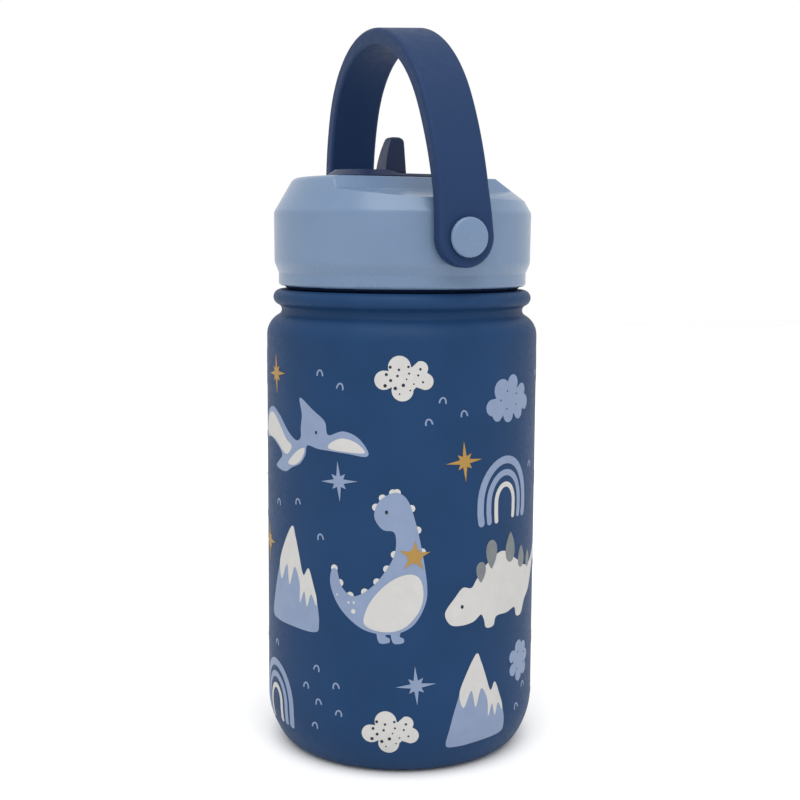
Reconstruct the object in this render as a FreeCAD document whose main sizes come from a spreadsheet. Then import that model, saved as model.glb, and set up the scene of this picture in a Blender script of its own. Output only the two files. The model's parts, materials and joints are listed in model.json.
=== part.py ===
"""Kids' insulated water bottle with a flip-spout screw lid and a swinging carry strap.

Millimetres, +Z up. The origin is the centre of the base, on the plane the bottle stands on.
X runs through the strap's two pivots, and -Y is the front, where the folded spout points.
"""
import FreeCAD
import Part
import Sketcher
import math
import os

V = FreeCAD.Vector

# ---------------------------------------------------------------- driving dimensions, mm and degrees
DRIVING = {
    # steel bottle
    "body_radius": 36.5,
    "steel": 0.6,
    "base_height": 13.5,          # where the base cup is welded to the straight wall
    "base_side_radius": 20.0,
    "base_toe_radius": 5.5,
    "foot_radius": 25.4,          # inner edge of the ring that the bottle stands on
    "foot_recess": 1.8,
    "groove_height": 118.3,
    "groove_radius": 1.55,
    "groove_floor": 32.55,
    "shoulder_radius": 6.0,
    "bead_radius": 2.1,
    "bead_reach": 34.75,
    "neck_radius": 28.8,
    "neck_root": 0.8,
    "lip_height": 132.55,
    "vessel_radius": 33.4,
    "vessel_floor": 5.0,
    "vessel_corner": 9.4,
    "vessel_bend": 5.0,
    "vessel_neck": 118.5,
    # screw thread between neck and lid
    "pitch": 4.0,
    "ridge_base": 1.7,
    "ridge_crest": 0.8,
    "ridge_depth": 1.1,
    "ridge_start": 126.2,
    "neck_turns": 1.25,
    "lid_turns": 1.0,
    "neck_ridge_angle": 20.0,
    "lid_ridge_angle": 100.0,
    # lid shell
    "skirt_bottom": 124.8,
    "skirt_radius": 33.3,
    "skirt_bore": 32.05,
    "skirt_top": 128.2,
    "lid_radius": 34.5,
    "lid_wall_top": 143.6,
    "lid_top": 153.2,
    "lid_ceiling": 146.2,
    "bevel_angle": 30.0,
    "bevel_round": 2.0,
    "crown_round": 2.4,
    "bar_half_top": 14.2,
    "bar_half_foot": 17.2,
    "deck_inner": 149.9,          # the two decks beside the raised bar slope down and outwards
    "deck_outer": 147.2,
    "deck_reach": 34.0,
    "tail_foot_radius": 32.6,     # the flatter bevel that ends the bar at the back
    "tail_foot": 147.4,
    "tail_top_radius": 24.9,
    "neck_split": 108.0,
    # threaded liner and its seals
    "liner_bottom": 124.0,
    "liner_radius": 32.0,
    "liner_bore": 30.3,
    "liner_under": 134.2,
    "liner_top": 136.2,
    "port_top": 139.0,
    "port_radius": 6.0,
    "seal_radius": 4.55,
    "flow_radius": 2.6,
    "socket_bottom": 125.0,
    "sleeve_wall": 0.9,
    "straw_radius": 4.0,
    "straw_bore": 3.0,
    "straw_bottom": 9.0,
    "gasket_inner": 27.3,
    "gasket_outer": 30.2,
    "vent_y": 15.0,
    # cradle and spout
    "cradle_half_length": 21.3,
    "cradle_half_width": 9.6,
    "cradle_top": 155.2,
    "cradle_tail_drop": 0.9,
    "cradle_flange": 0.8,
    "cradle_bottom": 139.2,
    "slot_half_length": 19.0,
    "slot_half_width": 6.8,
    "slot_floor": 141.0,
    "tail_floor": 146.6,
    "flip_height": 147.5,
    "barrel_radius": 6.0,
    "barrel_half": 6.6,
    "trunnion_radius": 2.0,
    "trunnion_reach": 8.2,
    "nozzle_radius": 3.6,
    "nozzle_reach": 14.0,
    "mouth_reach": 17.2,
    "fin_top": 164.1,
    "fin_front": 6.4,
    "fin_back": 0.6,
    "fin_half_base": 3.4,
    "fin_half_top": 2.2,
    # strap and its studs
    "pivot_height": 137.8,
    "strap_gap": 0.3,
    "strap_thick": 4.4,
    "strap_half_width": 6.9,
    "strap_eye_radius": 7.5,
    "strap_spring": 139.9,
    "strap_apex": 190.2,          # of the band's middle surface
    "strap_crown_radius": 33.0,
    "strap_edge": 1.0,
    "strap_lean": 3.5,
    "boss_radius": 3.1,
    "stem_radius": 1.9,
    "stud_radius": 4.95,
    "stud_slip": 0.15,
    # small parts inside
    "hole_radius": 2.2,           # evacuation hole in the base
    "getter_radius": 5.0,
    "getter_height": 1.2,
    "getter_offset": 14.0,
    "vent_radius": 1.0,
    "seal_seat": 0.4,             # depth of the cup that the spout seal stands in
    # longer than any piece, for cuts that go right through
    "beyond": 100.0,
}

doc = FreeCAD.newDocument("KidsBottle")
sheet = doc.addObject("Spreadsheet::Sheet", "Sizes")
for row, (name, value) in enumerate(DRIVING.items(), start=1):
    sheet.set(f"A{row}", name)
    sheet.set(f"B{row}", str(value))
    sheet.setAlias(f"B{row}", name)
doc.recompute()


class Size:
    """A number together with the spreadsheet expression that gives it."""

    def __init__(self, value, text):
        self.value = value
        self.text = text

    def __add__(self, other):
        other = as_size(other)
        return Size(self.value + other.value, f"({self.text} + {other.text})")

    def __sub__(self, other):
        other = as_size(other)
        return Size(self.value - other.value, f"({self.text} - {other.text})")

    def __mul__(self, other):
        other = as_size(other)
        return Size(self.value * other.value, f"({self.text} * {other.text})")

    def __truediv__(self, other):
        other = as_size(other)
        return Size(self.value / other.value, f"({self.text} / {other.text})")

    def __neg__(self):
        return Size(-self.value, f"(0 - {self.text})")

    def __radd__(self, other):
        return as_size(other) + self

    def __rsub__(self, other):
        return as_size(other) - self

    def __rmul__(self, other):
        return as_size(other) * self


def as_size(number):
    return number if isinstance(number, Size) else Size(float(number), repr(float(number)))


def root(size):
    return Size(math.sqrt(size.value), f"sqrt({size.text})")


def cosine(angle):
    return Size(math.cos(math.radians(angle.value)), f"cos({angle.text} * 1 deg)")


def sine(angle):
    return Size(math.sin(math.radians(angle.value)), f"sin({angle.text} * 1 deg)")


class Sizes:
    """The spreadsheet's cells by name."""

    def __getattr__(self, name):
        return Size(DRIVING[name], f"Sizes.{name}")


s = Sizes()


# ---------------------------------------------------------------- helpers
def bind(thing, prop, size):
    thing.setExpression(prop, as_size(size).text)


def plane_of(body, role):
    return next(f for f in body.Origin.OriginFeatures if f.Role == role)


def new_sketch(body, name, role):
    sketch = body.newObject("Sketcher::SketchObject", name)
    sketch.AttachmentSupport = [(plane_of(body, role), "")]
    sketch.MapMode = "FlatFace"
    return sketch


def pin_point(sketch, geometry, position, x, y):
    """Ties one end of a segment to its place on the sketch, by the spreadsheet."""
    for kind, axis, size in (("DistanceX", -2, as_size(x)), ("DistanceY", -1, as_size(y))):
        if size.text == "0.0":
            sketch.addConstraint(Sketcher.Constraint("PointOnObject", geometry, position, axis))
        else:
            sketch.addConstraint(Sketcher.Constraint(kind, -1, 1, geometry, position, size.value))
            bind(sketch, f"Constraints[{sketch.ConstraintCount - 1}]", size)


def arc_between(start, end, bend):
    """The minor arc between two points; bend is its radius, positive where the path turns left."""
    radius = abs(bend)
    chord = end - start
    half = chord.Length / 2
    side = V(-chord.y, chord.x, 0).normalize() * math.sqrt(max(radius * radius - half * half, 0.0))
    centre = start + chord * 0.5 + (side if bend > 0 else -side)
    first, last = (start, end) if bend > 0 else (end, start)
    angles = [math.atan2(p.y - centre.y, p.x - centre.x) for p in (first, last)]
    return Part.ArcOfCircle(Part.Circle(centre, V(0, 0, 1), radius), *angles)


def draw_outline(sketch, outline):
    """Draws a closed outline. Each corner is (x, y), or (x, y, bend) where an arc leads to the next."""
    ends = []
    for i, corner in enumerate(outline):
        following = outline[(i + 1) % len(outline)]
        start = V(as_size(corner[0]).value, as_size(corner[1]).value, 0)
        end = V(as_size(following[0]).value, as_size(following[1]).value, 0)
        if len(corner) == 2:
            geometry = sketch.addGeometry(Part.LineSegment(start, end), False)
            ends.append((geometry, 1, 2))
        else:
            bend = as_size(corner[2])
            geometry = sketch.addGeometry(arc_between(start, end, bend.value), False)
            ends.append((geometry, 1, 2) if bend.value > 0 else (geometry, 2, 1))
    for i, (geometry, start, end) in enumerate(ends):
        following, first, _ = ends[(i + 1) % len(ends)]
        sketch.addConstraint(Sketcher.Constraint("Coincident", geometry, end, following, first))
    for corner, (geometry, start, end) in zip(outline, ends):
        pin_point(sketch, geometry, start, corner[0], corner[1])
        if len(corner) == 3:
            bend = as_size(corner[2])
            radius = bend if bend.value > 0 else -bend
            sketch.addConstraint(Sketcher.Constraint("Radius", geometry, radius.value))
            bind(sketch, f"Constraints[{sketch.ConstraintCount - 1}]", radius)


def new_body(name):
    return doc.addObject("PartDesign::Body", name)


def turned(name, outline):
    """A body of revolution about Z, from an outline of (radius, height) corners."""
    body = new_body(name)
    sketch = new_sketch(body, f"{name}_outline", "XZ_Plane")
    draw_outline(sketch, outline)
    spin = body.newObject("PartDesign::Revolution", f"{name}_turn")
    spin.Profile = sketch
    spin.ReferenceAxis = (sketch, ["V_Axis"])
    spin.Angle = 360.0
    return body


def feature(body, kind, name, outline, role, length):
    """A pad or pocket of an outline, equally to both sides of one of the body's own planes."""
    sketch = new_sketch(body, f"{name}_outline", role)
    draw_outline(sketch, outline)
    made = body.newObject(f"PartDesign::{kind}", name)
    made.Profile = sketch
    made.Midplane = True
    bind(made, "Length", length)
    return made


def padded_body(name, outline, role, length):
    body = new_body(name)
    feature(body, "Pad", f"{name}_pad", outline, role, length)
    return body


def rod(name, radius, length, at, direction):
    """A cylinder of that length from a point along a direction, its size bound to the sheet."""
    cylinder = doc.addObject("Part::Cylinder", name)
    bind(cylinder, "Radius", radius)
    bind(cylinder, "Height", length)
    sizes = [as_size(x) for x in at]
    turn = FreeCAD.Rotation(V(0, 0, 1), direction)
    cylinder.Placement = FreeCAD.Placement(V(*(x.value for x in sizes)), turn)
    for axis, size in zip("xyz", sizes):
        bind(cylinder, f"Placement.Base.{axis}", size)
    return cylinder


def block(name, low, high):
    """A box between two corners, bound to the sheet."""
    box = doc.addObject("Part::Box", name)
    for side, axis, a, b in zip(("Length", "Width", "Height"), "xyz", low, high):
        bind(box, side, as_size(b) - as_size(a))
        bind(box, f"Placement.Base.{axis}", a)
    return box


def fused(name, *pieces):
    made = doc.addObject("Part::MultiFuse", name)
    made.Shapes = list(pieces)
    return made


def cut(name, base, tool):
    made = doc.addObject("Part::Cut", name)
    made.Base = base
    made.Tool = tool
    return made


def common(name, *pieces):
    made = doc.addObject("Part::MultiCommon", name)
    made.Shapes = list(pieces)
    return made


def rounded(name, base, radius, wanted):
    """Fillets the edges of base that wanted(edge) picks."""
    doc.recompute()
    made = doc.addObject("Part::Fillet", name)
    made.Base = base
    picked = [i for i, edge in enumerate(base.Shape.Edges, start=1) if wanted(edge)]
    made.Edges = [(i, radius.value, radius.value) for i in picked]
    return made


def oblong(half_width, half_length):
    """A slot-shaped outline along Y with full-round ends."""
    straight = half_length - half_width
    return [
        (half_width, -straight),
        (half_width, straight, half_width),
        (0, half_length, half_width),
        (-half_width, straight),
        (-half_width, -straight, half_width),
        (0, -half_length, half_width),
    ]


def helical_ridge(name, radius, outward, start, turns, angle):
    """A thread ridge that stands off a wall of that radius, its foot sunk a little into the wall."""
    sink = 0.3
    way = 1 if outward else -1
    half_base, half_crest = s.ridge_base / 2, s.ridge_crest / 2
    foot, crest = radius - way * sink, radius + way * s.ridge_depth
    body = new_body(f"{name}_section")
    sketch = new_sketch(body, f"{name}_profile", "XZ_Plane")
    draw_outline(sketch, [
        (foot, -half_base),
        (crest, -half_crest),
        (crest, half_crest),
        (foot, half_base),
    ])
    helix = doc.addObject("Part::Helix", f"{name}_path")
    bind(helix, "Radius", radius)
    bind(helix, "Pitch", s.pitch)
    bind(helix, "Height", s.pitch * turns)
    sweep = doc.addObject("Part::Sweep", name)
    sweep.Sections = [sketch]
    sweep.Spine = (helix, ["Edge1"])
    sweep.Solid = True
    sweep.Frenet = True
    sweep.Placement = FreeCAD.Placement(V(0, 0, start.value), FreeCAD.Rotation(V(0, 0, 1), angle.value))
    bind(sweep, "Placement.Base.z", start)
    bind(sweep, "Placement.Rotation.Angle", angle)
    return sweep


def pointed(body, at, direction):
    """Stands a turned body, drawn along Z, at a point and along a direction."""
    sizes = [as_size(x) for x in at]
    turn = FreeCAD.Rotation(V(0, 0, 1), direction)
    body.Placement = FreeCAD.Placement(V(*(x.value for x in sizes)), turn)
    for axis, size in zip("xyz", sizes):
        bind(body, f"Placement.Base.{axis}", size)
    return body


# ---------------------------------------------------------------- the steel bottle
class Neck:
    """Where the arcs of the shoulder, the groove and the bead meet, and the same for a wall inside it."""

    def __init__(self, inset):
        reach = s.shoulder_radius + s.groove_radius
        self.shoulder_r = s.body_radius - s.shoulder_radius
        groove_r = s.groove_floor + s.groove_radius
        across = groove_r - self.shoulder_r
        rise = root(reach * reach - across * across)
        self.shoulder_z = s.groove_height - rise
        self.shoulder_bend = s.shoulder_radius - inset
        share = self.shoulder_bend / reach
        self.low = (self.shoulder_r + across * share, self.shoulder_z + rise * share)
        self.groove_bend = s.groove_radius + inset
        self.bead_bend = s.bead_radius - inset
        self.bead_r = s.bead_reach - s.bead_radius
        span = s.groove_radius + s.bead_radius
        back = self.bead_r - groove_r
        climb = root(span * span - back * back)
        self.bead_z = s.groove_height + climb
        share = self.groove_bend / span
        self.high = (groove_r + back * share, s.groove_height + climb * share)
        self.top = self.bead_z + self.bead_bend


def make_outer_wall():
    """The straight part of the painted outer tube."""
    return turned("outer_wall", [
        (s.body_radius, s.base_height),
        (s.body_radius, s.neck_split),
        (s.body_radius - s.steel, s.neck_split),
        (s.body_radius - s.steel, s.base_height),
    ])


def make_outer_neck():
    """The painted upper end of the outer tube: shoulder, groove, bead and threaded neck."""
    out, inn = Neck(as_size(0.0)), Neck(s.steel)
    soft = 0.3
    root_r = s.neck_radius + s.neck_root
    root_z = out.top + s.neck_root
    outline = [
        (s.body_radius, s.neck_split),
        (s.body_radius, out.shoulder_z, out.shoulder_bend),
        (out.low[0], out.low[1], -out.groove_bend),
        (out.high[0], out.high[1], out.bead_bend),
        (out.bead_r, out.top),
        (root_r, out.top, -s.neck_root),
        (s.neck_radius, root_z),
        (s.neck_radius, s.lip_height - soft, soft),
        (s.neck_radius - soft, s.lip_height),
        (s.neck_radius - s.steel, s.lip_height),
        (s.neck_radius - s.steel, root_z, s.neck_root + s.steel),
        (root_r, inn.top),
        (inn.bead_r, inn.top, -inn.bead_bend),
        (inn.high[0], inn.high[1], inn.groove_bend),
        (inn.low[0], inn.low[1], -inn.shoulder_bend),
        (s.body_radius - s.steel, out.shoulder_z),
        (s.body_radius - s.steel, s.neck_split),
    ]
    tube = turned("outer_neck_tube", outline)
    turns, angle = s.neck_turns, s.neck_ridge_angle
    ridge = helical_ridge("neck_ridge", s.neck_radius, True, s.ridge_start, turns, angle)
    return fused("outer_neck", tube, ridge)


def base_arcs(inset):
    """Centre and ends of the two arcs that turn the wall into the foot."""
    side, toe = s.base_side_radius, s.base_toe_radius
    centre_r = s.body_radius - side
    drop = s.base_height - toe
    run = side - toe
    toe_r = centre_r + root(run * run - drop * drop)
    share = (side - inset) / run
    meet = (centre_r + (toe_r - centre_r) * share, s.base_height - drop * share)
    return toe_r, meet, side - inset, toe - inset


def make_outer_base():
    """The painted base cup: rounded corner, standing ring and recessed floor with the evacuation hole."""
    toe_r, meet, side, toe = base_arcs(as_size(0.0))
    _, meet_in, side_in, toe_in = base_arcs(s.steel)
    slope = 0.8
    hole = s.hole_radius
    floor_r = s.foot_radius - slope
    return turned("outer_base", [
        (hole, s.foot_recess),
        (floor_r, s.foot_recess),
        (s.foot_radius, 0),
        (toe_r, 0, toe),
        (meet[0], meet[1], side),
        (s.body_radius, s.base_height),
        (s.body_radius - s.steel, s.base_height, -side_in),
        (meet_in[0], meet_in[1], -toe_in),
        (toe_r, s.steel),
        (s.foot_radius + slope, s.steel),
        (floor_r + slope, s.foot_recess + s.steel),
        (hole, s.foot_recess + s.steel),
    ])


def make_inner_wall():
    """The bare steel tube that holds the drink, from its welded floor to the start of its neck."""
    weld = s.vessel_floor + s.vessel_corner
    return turned("inner_wall", [
        (s.vessel_radius, weld),
        (s.vessel_radius, s.neck_split),
        (s.vessel_radius - s.steel, s.neck_split),
        (s.vessel_radius - s.steel, weld),
    ])


def make_inner_neck():
    """The bare steel neck, which narrows and runs up to the lip."""
    bend = s.vessel_bend
    bore = s.neck_radius - s.steel
    side = s.vessel_radius - bore
    half = side / 2
    climb = root(bend * bend - (bend - half) * (bend - half))
    low = s.vessel_neck - climb * 2
    inner_bend, outer_bend = bend - s.steel, bend + s.steel
    share_in, share_out = inner_bend / bend, outer_bend / bend
    shoulder_r = s.vessel_radius - bend
    neck_r = bore + bend
    return turned("inner_neck", [
        (s.vessel_radius, s.neck_split),
        (s.vessel_radius, low, bend),
        (shoulder_r + (bend - half), low + climb, -bend),
        (bore, s.vessel_neck),
        (bore, s.lip_height),
        (bore - s.steel, s.lip_height),
        (bore - s.steel, s.vessel_neck, outer_bend),
        (neck_r - (bend - half) * share_out, s.vessel_neck - climb * share_out),
        (shoulder_r + (bend - half) * share_in, low + climb * share_in, -inner_bend),
        (s.vessel_radius - s.steel, low),
        (s.vessel_radius - s.steel, s.neck_split),
    ])


def make_inner_base():
    """The drawn steel floor of the vessel."""
    corner = s.vessel_corner
    flat = s.vessel_radius - corner
    return turned("inner_base", [
        (0, s.vessel_floor),
        (flat, s.vessel_floor, corner),
        (s.vessel_radius, s.vessel_floor + corner),
        (s.vessel_radius - s.steel, s.vessel_floor + corner, -(corner - s.steel)),
        (flat, s.vessel_floor + s.steel),
        (0, s.vessel_floor + s.steel),
    ])


def make_getter():
    """The gas-absorbing pellet in its holder, welded under the vessel inside the vacuum."""
    foot = (s.getter_offset, 0, s.vessel_floor - s.getter_height)
    return rod("getter", s.getter_radius, s.getter_height, foot, V(0, 0, 1))


def make_vacuum_seal():
    """The glass bead that closes the evacuation hole."""
    hole, head, step = s.hole_radius, 3.4, 1.0
    top = s.foot_recess + s.steel
    return turned("vacuum_seal", [
        (0, s.foot_recess),
        (hole, s.foot_recess),
        (hole, top),
        (head, top, step),
        (head - step, top + step),
        (0, top + step),
    ])


def make_base_cap():
    """The bare steel disc pressed into the base recess."""
    radius, thick, edge = 23.9, 0.5, 0.3
    return turned("base_cap", [
        (0, s.foot_recess - thick),
        (radius - edge, s.foot_recess - thick),
        (radius, s.foot_recess - thick + edge),
        (radius, s.foot_recess),
        (0, s.foot_recess),
    ])


# ---------------------------------------------------------------- the lid
def make_lid_shell():
    """The outer cap: stepped skirt, bevelled crown, raised bar and a boss for each strap end."""
    soft, step = 0.8, 2.2
    lean_cos, lean_sin = cosine(s.bevel_angle), sine(s.bevel_angle)
    waist_r = s.lid_radius - 0.1
    bevel_r = s.lid_radius - s.bevel_round * (1 - lean_cos)
    bevel_z = s.lid_wall_top + s.bevel_round * lean_sin
    crown_z = s.lid_top - s.crown_round * (1 - lean_sin)
    crown_r = bevel_r - (crown_z - bevel_z) * (lean_sin / lean_cos)
    body = turned("lid_shell_turned", [
        (s.skirt_bore, s.skirt_bottom),
        (s.skirt_radius - soft, s.skirt_bottom, soft),
        (s.skirt_radius, s.skirt_bottom + soft),
        (s.skirt_radius, s.skirt_top),
        (waist_r - 0.2, s.skirt_top + step),
        (waist_r, s.skirt_top + step + soft),
        (s.lid_radius, s.lid_wall_top, s.bevel_round),
        (bevel_r, bevel_z),
        (crown_r, crown_z, s.crown_round),
        (crown_r - s.crown_round * lean_cos, s.lid_top),
        (0, s.lid_top),
        (0, s.lid_ceiling),
        (s.skirt_bore, s.lid_ceiling),
    ])
    far, over = 45.0, 160.0
    fall = (s.deck_inner - s.deck_outer) / (s.deck_reach - s.bar_half_foot)
    slope = (s.bar_half_foot - s.bar_half_top) / (s.lid_top - s.deck_inner)
    for side, name in ((1, "right_deck"), (-1, "left_deck")):
        feature(body, "Pocket", name, [
            (side * s.bar_half_foot, s.deck_inner),
            (side * far, s.deck_inner - fall * (far - s.bar_half_foot)),
            (side * far, over),
            (side * (s.bar_half_top - slope * (over - s.lid_top)), over),
        ], "XZ_Plane", as_size(2 * far))
    slack = 0.05                  # round the insert that stands in the well
    well = oblong(s.cradle_half_width - s.cradle_flange + slack,
                  s.cradle_half_length - s.cradle_flange + slack)
    feature(body, "Pocket", "cradle_well", well, "XY_Plane", as_size(2 * over))
    beyond = turned("tail_bevel_outside", [
        (s.tail_foot_radius, s.tail_foot),
        (far, s.tail_foot),
        (far, over),
        (s.tail_top_radius, over),
        (s.tail_top_radius, s.lid_top),
    ])
    back_half = block("back_half", (-far, 0, 0), (far, far, over))
    soft_edges = rounded("lid_shell_soft", body, as_size(soft), is_bar_edge)
    bevelled = cut("lid_shell_bevelled", soft_edges, common("tail_bevel", beyond, back_half))
    sunk, behind_wall = 1.2, 1.0
    reach = s.lid_radius + s.strap_gap + s.strap_thick + s.stud_slip
    hole_foot = s.skirt_bore + behind_wall
    bosses, holes = [], []
    for side, name in ((1, "right"), (-1, "left")):
        way = V(side, 0, 0)
        start = s.lid_radius - sunk
        boss_at = (side * start, 0, s.pivot_height)
        hole_at = (side * hole_foot, 0, s.pivot_height)
        bosses.append(rod(f"{name}_boss", s.boss_radius, reach - start, boss_at, way))
        holes.append(rod(f"{name}_boss_hole", s.stem_radius, reach, hole_at, way))
    whole = fused("lid_shell_with_bosses", bevelled, *bosses)
    return cut("lid_shell", whole, fused("boss_holes", *holes))


def is_bar_edge(edge):
    """The long straight edges along the top and the foot of the raised bar's two side walls."""
    box = edge.BoundBox
    straight = isinstance(edge.Curve, Part.Line)
    along_y = box.XLength < 0.01 and box.ZLength < 0.01 and box.YLength > 30
    return straight and along_y and box.ZMin > DRIVING["deck_inner"] - 0.01


def make_lid_liner():
    """The threaded insert: skirt with the thread, ceiling, plug ring, straw socket and seal cup."""
    slip = 0.05
    plug_out, plug_in, plug_low = 27.2, 26.0, 131.6
    socket_wall, bevel = 1.3, 0.9
    socket = s.straw_radius + s.sleeve_wall
    body = turned("liner_turned", [
        (s.flow_radius, s.liner_under),
        (socket, s.liner_under),
        (socket, s.socket_bottom),
        (socket + socket_wall, s.socket_bottom),
        (socket + socket_wall, s.liner_under),
        (plug_in, s.liner_under),
        (plug_in, plug_low),
        (plug_out, plug_low),
        (plug_out, s.liner_under),
        (s.liner_bore, s.liner_under),
        (s.liner_bore, s.liner_bottom),
        (s.liner_radius - bevel, s.liner_bottom),
        (s.liner_radius, s.liner_bottom + bevel),
        (s.liner_radius, s.liner_top),
        (s.port_radius, s.liner_top),
        (s.port_radius, s.port_top),
        (s.seal_radius + slip, s.port_top),
        (s.seal_radius + slip, s.liner_top + s.seal_seat),
        (s.flow_radius, s.liner_top + s.seal_seat),
    ])
    lag = s.pitch * ((s.lid_ridge_angle - s.neck_ridge_angle) / 360 - 0.5)
    turns, angle = s.lid_turns, s.lid_ridge_angle
    ridge = helical_ridge("liner_ridge", s.liner_bore, False, s.ridge_start + lag, turns, angle)
    whole = fused("liner_with_ridge", body, ridge)
    deep = s.liner_top - s.liner_under + s.vent_radius * 2
    through = (0, s.vent_y, s.liner_under - s.vent_radius)
    hole = rod("vent_hole", s.vent_radius, deep, through, V(0, 0, 1))
    return cut("lid_liner", whole, hole)


def make_lid_gasket():
    """The silicone ring that the lid presses on the lip."""
    low, high, edge = s.lip_height + 0.05, s.liner_under - 0.05, 0.3
    return turned("lid_gasket", [
        (s.gasket_inner, low + edge),
        (s.gasket_inner + edge, low),
        (s.gasket_outer - edge, low),
        (s.gasket_outer, low + edge),
        (s.gasket_outer, high),
        (s.gasket_inner, high),
    ])


def make_vent_valve():
    """The silicone umbrella that lets air in as the drink goes out."""
    cap, stem, bulb, thin, rise = 3.2, s.vent_radius, 1.5, 0.8, 1.2
    valve = turned("vent_valve", [
        (0, s.liner_under - thin),
        (cap - thin, s.liner_under - thin, rise),
        (cap, s.liner_under),
        (stem, s.liner_under),
        (stem, s.liner_top),
        (bulb, s.liner_top),
        (stem * 0.6, s.liner_top + rise),
        (0, s.liner_top + rise),
    ])
    return pointed(valve, (0, s.vent_y, 0), V(0, 0, 1))


def make_straw_socket():
    """The silicone sleeve that grips the straw inside the liner's socket."""
    lead, top = 0.4, s.liner_under - 0.05
    return turned("straw_socket", [
        (s.straw_radius, s.socket_bottom + lead),
        (s.straw_radius + lead, s.socket_bottom),
        (s.straw_radius + s.sleeve_wall, s.socket_bottom),
        (s.straw_radius + s.sleeve_wall, top),
        (s.straw_radius, top),
    ])


def make_straw():
    """The drinking straw, pushed up into its socket; its slanted foot never seals on the floor."""
    top = s.liner_under - 0.1
    tube = turned("straw_tube", [
        (s.straw_bore, s.straw_bottom),
        (s.straw_radius, s.straw_bottom),
        (s.straw_radius, top),
        (s.straw_bore, top),
    ])
    half = 8.0
    slope = padded_body("straw_slant", [
        (-half, s.straw_bottom - half),
        (half, s.straw_bottom - half),
        (half, s.straw_bottom + half * 0.6),
    ], "YZ_Plane", as_size(2 * half))
    return cut("straw", tube, slope)


def make_spout_seal():
    """The silicone saddle between the liner's port and the spout's barrel."""
    foot = s.liner_top + s.seal_seat
    under_axis, lap, slip = 3.7, 0.2, 0.06
    top = s.flip_height - under_axis
    ring = turned("seal_turned", [
        (s.flow_radius - lap, foot),
        (s.seal_radius, foot),
        (s.seal_radius, top),
        (s.flow_radius - lap, top),
    ])
    half = s.barrel_half + 2
    path = rod("seal_path", s.barrel_radius + slip, half * 2, (-half, 0, s.flip_height), V(1, 0, 0))
    return cut("spout_seal", ring, path)


def make_spout_cradle():
    """The dark insert in the lid's bar: bevelled rim, spout trough, seal hole and trunnion sockets."""
    bevel_wide, bevel_high = 2.2, 1.5
    rim_z = s.lid_top
    inner_w = s.cradle_half_width - s.cradle_flange
    inner_l = s.cradle_half_length - s.cradle_flange
    rim = new_body("cradle_rim")
    sketch = new_sketch(rim, "cradle_rim_outline", "XY_Plane")
    draw_outline(sketch, oblong(s.cradle_half_width, s.cradle_half_length))
    sketch.AttachmentOffset = FreeCAD.Placement(V(0, 0, rim_z.value), FreeCAD.Rotation())
    bind(sketch, "AttachmentOffset.Base.z", rim_z)
    pad = rim.newObject("PartDesign::Pad", "cradle_rim_pad")
    pad.Profile = sketch
    bind(pad, "Length", s.cradle_top - rim_z)
    doc.recompute()
    tops = [f"Edge{i}" for i, e in enumerate(pad.Shape.Edges, start=1)
            if abs(e.BoundBox.ZMin - DRIVING["cradle_top"]) < 0.01 and e.BoundBox.ZLength < 0.01]
    bevel = rim.newObject("PartDesign::Chamfer", "cradle_rim_bevel")
    bevel.Base = (pad, tops)
    bevel.ChamferType = "Two distances"
    bevel.Size = bevel_high
    bevel.Size2 = bevel_wide
    bevel.FlipDirection = False
    body = new_body("cradle_trough")
    trough_sketch = new_sketch(body, "cradle_trough_outline", "XY_Plane")
    draw_outline(trough_sketch, oblong(inner_w, inner_l))
    low = V(0, 0, s.cradle_bottom.value)
    trough_sketch.AttachmentOffset = FreeCAD.Placement(low, FreeCAD.Rotation())
    bind(trough_sketch, "AttachmentOffset.Base.z", s.cradle_bottom)
    trough = body.newObject("PartDesign::Pad", "cradle_trough_pad")
    trough.Profile = trough_sketch
    bind(trough, "Length", rim_z - s.cradle_bottom)
    whole = fused("cradle_solid", rim, body)
    high, rear = 170.0, 7.4       # clear above the rim, and where the deeper front of the slot ends
    slot_outline = oblong(s.slot_half_width, s.slot_half_length)
    slot = padded_body("cradle_slot", slot_outline, "XY_Plane", as_size(2 * high))
    wide = s.cradle_half_width
    front = block("slot_front_space", (-wide, -s.cradle_half_length, s.slot_floor), (wide, rear, high))
    back = block("slot_back_space", (-wide, rear, s.tail_floor), (wide, s.cradle_half_length, high))
    hollow = common("cradle_hollow", slot, fused("slot_spaces", front, back))
    slack, clearance = 0.15, 0.06
    below = (0, 0, s.cradle_bottom - 1)
    deep = s.slot_floor - s.cradle_bottom + 2
    seal_hole = rod("seal_hole", s.seal_radius + slack, deep, below, V(0, 0, 1))
    reach = s.trunnion_reach + slack
    axle = (-reach, 0, s.flip_height)
    sockets = rod("trunnion_sockets", s.trunnion_radius + clearance, reach * 2, axle, V(1, 0, 0))
    drop_start, drop_end = -7.5, -4.5
    tail = padded_body("tail_drop", [
        (drop_start, s.cradle_top + 1),
        (drop_start, s.cradle_top),
        (drop_end, s.cradle_top - s.cradle_tail_drop),
        (s.cradle_half_length + 1, s.cradle_top - s.cradle_tail_drop),
        (s.cradle_half_length + 1, s.cradle_top + 1),
    ], "YZ_Plane", s.beyond)
    return cut("spout_cradle", whole, fused("cradle_cuts", hollow, seal_hole, sockets, tail))


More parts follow.
